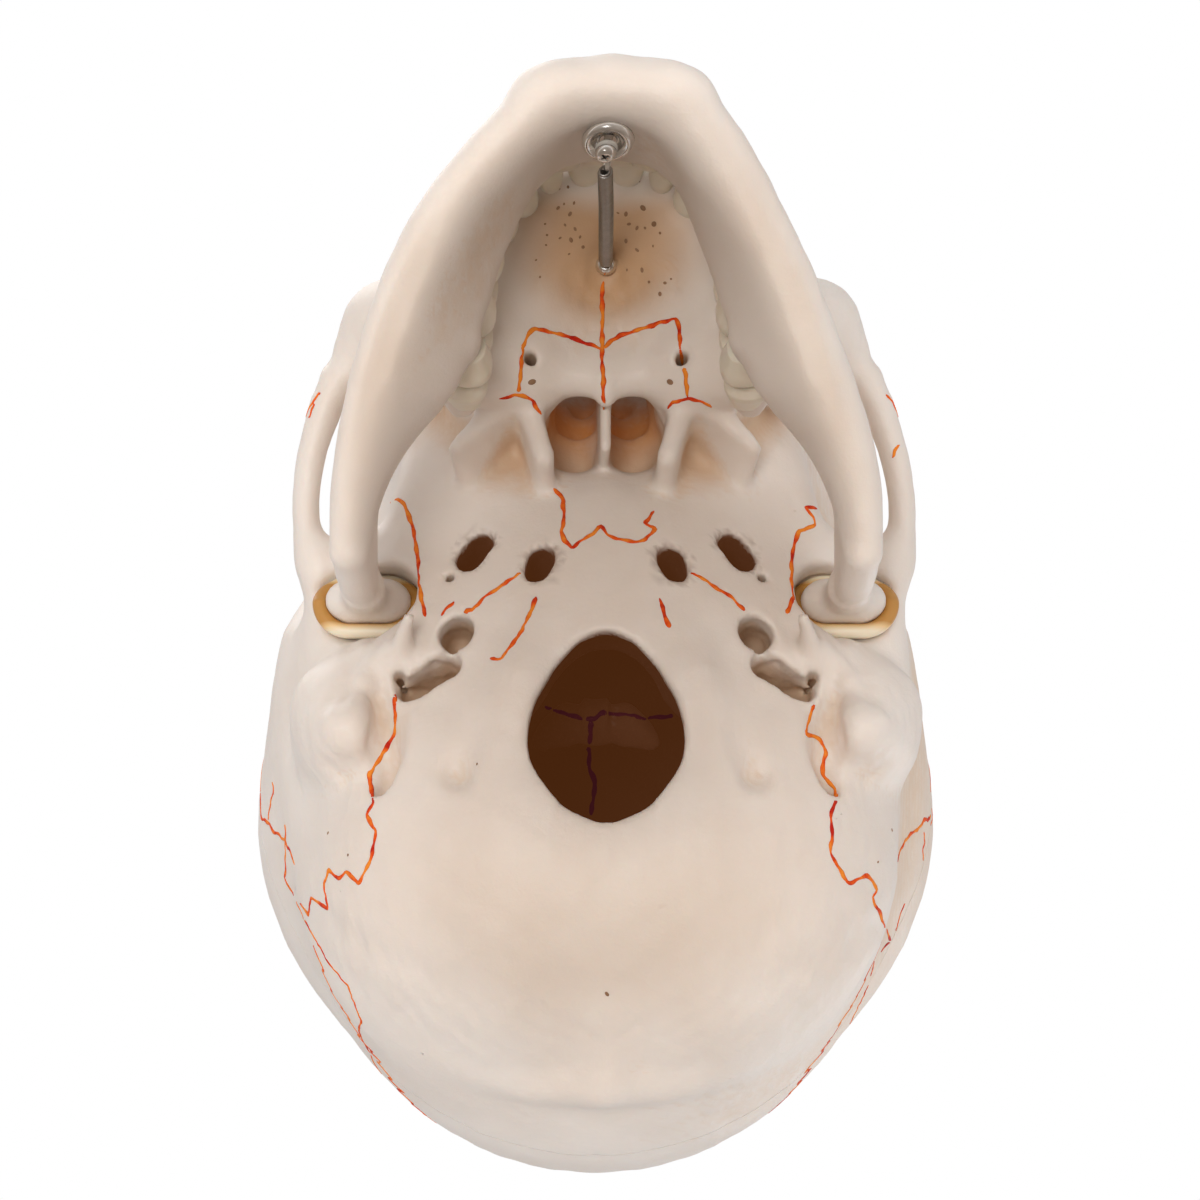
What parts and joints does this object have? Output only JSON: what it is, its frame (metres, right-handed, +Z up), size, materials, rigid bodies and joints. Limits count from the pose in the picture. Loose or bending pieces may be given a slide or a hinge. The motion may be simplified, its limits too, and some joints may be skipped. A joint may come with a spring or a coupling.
{
  "type": "anatomical skull model",
  "caption": "Life-size teaching skull: hollow base with lift-off cap, sprung hinged lower jaw, set teeth, soft joint discs and open sockets and base holes.",
  "frame": {"origin": "middle of the footprint, on the surface the skull rests on", "axes": "+Z up as it rests tipped back on its jaw angles and occiput, face towards -Y, the skull's own left side at +X"},
  "size_m": [0.1454, 0.2342, 0.1708],
  "materials": {
    "bone": "cast ivory plastic, fine matte with a faint sheen",
    "tooth": "satin cream plastic",
    "disc": "soft yellowish elastomer",
    "steel": "bright steel wire and screws",
    "chrome": "plated, polished",
    "magnet": "nickel plated",
    "link": "clear to whitish plastic"
  },
  "bodies": {
    "skull_base": {"cranial_base": "bone", "joint_disc_left": "disc", "joint_disc_right": "disc", "palate_screw": "steel", "jaw_spring": "steel", "locating_pin_front": "steel", "locating_pin_left": "steel", "locating_pin_right": "steel", "base_magnet_left": "magnet", "base_magnet_back": "magnet", "base_magnet_right": "magnet", "upper_left_central_incisor": "tooth", "upper_right_central_incisor": "tooth", "upper_left_lateral_incisor": "tooth", "upper_right_lateral_incisor": "tooth", "upper_left_canine": "tooth", "upper_right_canine": "tooth", "upper_left_first_premolar": "tooth", "upper_right_first_premolar": "tooth", "upper_left_second_premolar": "tooth", "upper_right_second_premolar": "tooth", "upper_left_first_molar": "tooth", "upper_right_first_molar": "tooth", "upper_left_second_molar": "tooth", "upper_right_second_molar": "tooth", "upper_left_third_molar": "tooth", "upper_right_third_molar": "tooth"},
    "lower_jaw": {"mandible": "bone", "chin_cup_washer": "chrome", "chin_screw": "steel", "spring_link": "link", "lower_left_central_incisor": "tooth", "lower_right_central_incisor": "tooth", "lower_left_lateral_incisor": "tooth", "lower_right_lateral_incisor": "tooth", "lower_left_canine": "tooth", "lower_right_canine": "tooth", "lower_left_first_premolar": "tooth", "lower_right_first_premolar": "tooth", "lower_left_second_premolar": "tooth", "lower_right_second_premolar": "tooth", "lower_left_first_molar": "tooth", "lower_right_first_molar": "tooth", "lower_left_second_molar": "tooth", "lower_right_second_molar": "tooth", "lower_left_third_molar": "tooth", "lower_right_third_molar": "tooth"},
    "cap": {"calvarium": "bone", "cap_magnet_left": "magnet", "cap_magnet_back": "magnet", "cap_magnet_right": "magnet"}
  },
  "joints": [
    {"name": "jaw_open", "type": "hinge", "parent": "skull_base", "child": "lower_jaw", "pos_m": [0, -0.00952, 0.0496], "axis": [1, 0, 0], "range_deg": [0, 25], "stiffness_Nm_per_rad": 0.25, "springref_deg": -28.65, "deforming": ["jaw_spring"]},
    {"name": "cap_lift", "type": "slide", "parent": "skull_base", "child": "cap", "axis": [0, 0.5659, 0.8244], "range_m": [0, 0.12]}
  ]
}
